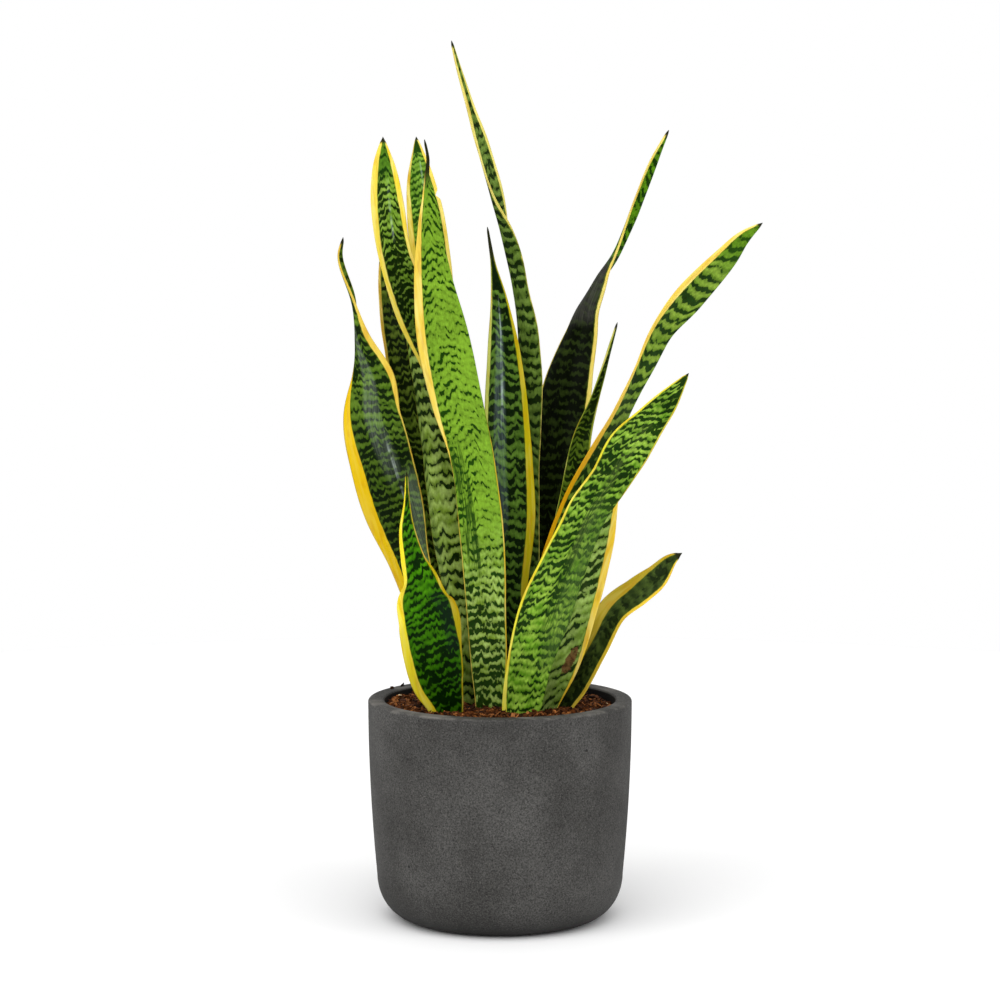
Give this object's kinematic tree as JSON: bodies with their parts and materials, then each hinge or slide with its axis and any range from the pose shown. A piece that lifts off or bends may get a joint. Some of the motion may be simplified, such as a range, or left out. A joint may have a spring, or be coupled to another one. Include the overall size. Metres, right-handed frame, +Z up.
{
  "type": "potted snake plant",
  "caption": "Upright sword-shaped banded leaves with yellow margins, rising from soil in a round tapered concrete pot that stands on its flat base.",
  "frame": {"origin": "centre of the pot's flat underside", "axes": "+Z up along the pot's axis, +X to the viewer's right and +Y away from the viewer in the pictured view"},
  "size_m": [0.3191, 0.2, 0.6642],
  "materials": {
    "concrete": "matte dark grey cast concrete with fine pits and speckle",
    "soil": "moist reddish-brown coir crumbs and bark chips",
    "rootstock": "fleshy ochre underground stem",
    "leaf_bright": "satin light green leaf with dark zigzag bands and yellow margins",
    "leaf_mid": "satin mid green leaf with dark zigzag bands and yellow margins",
    "leaf_pale": "satin grey-green leaf underside with dark bands and yellow margins",
    "leaf_deep": "satin deep green leaf with darker bands and yellow margins",
    "leaf_dark": "satin blackish green leaf with faint bands and yellow margins"
  },
  "bodies": {
    "root": {"pot": "concrete", "soil": "soil", "rootstock": "rootstock", "leaf_01": "leaf_deep", "leaf_02": "leaf_mid", "leaf_03": "leaf_deep", "leaf_04": "leaf_bright", "leaf_05": "leaf_dark", "leaf_06": "leaf_pale", "leaf_07": "leaf_deep", "leaf_08": "leaf_deep", "leaf_09": "leaf_pale", "leaf_10": "leaf_dark", "leaf_11": "leaf_dark", "leaf_12": "leaf_mid", "leaf_13": "leaf_bright", "leaf_14": "leaf_pale", "leaf_15": "leaf_dark"}
  },
  "joints": []
}
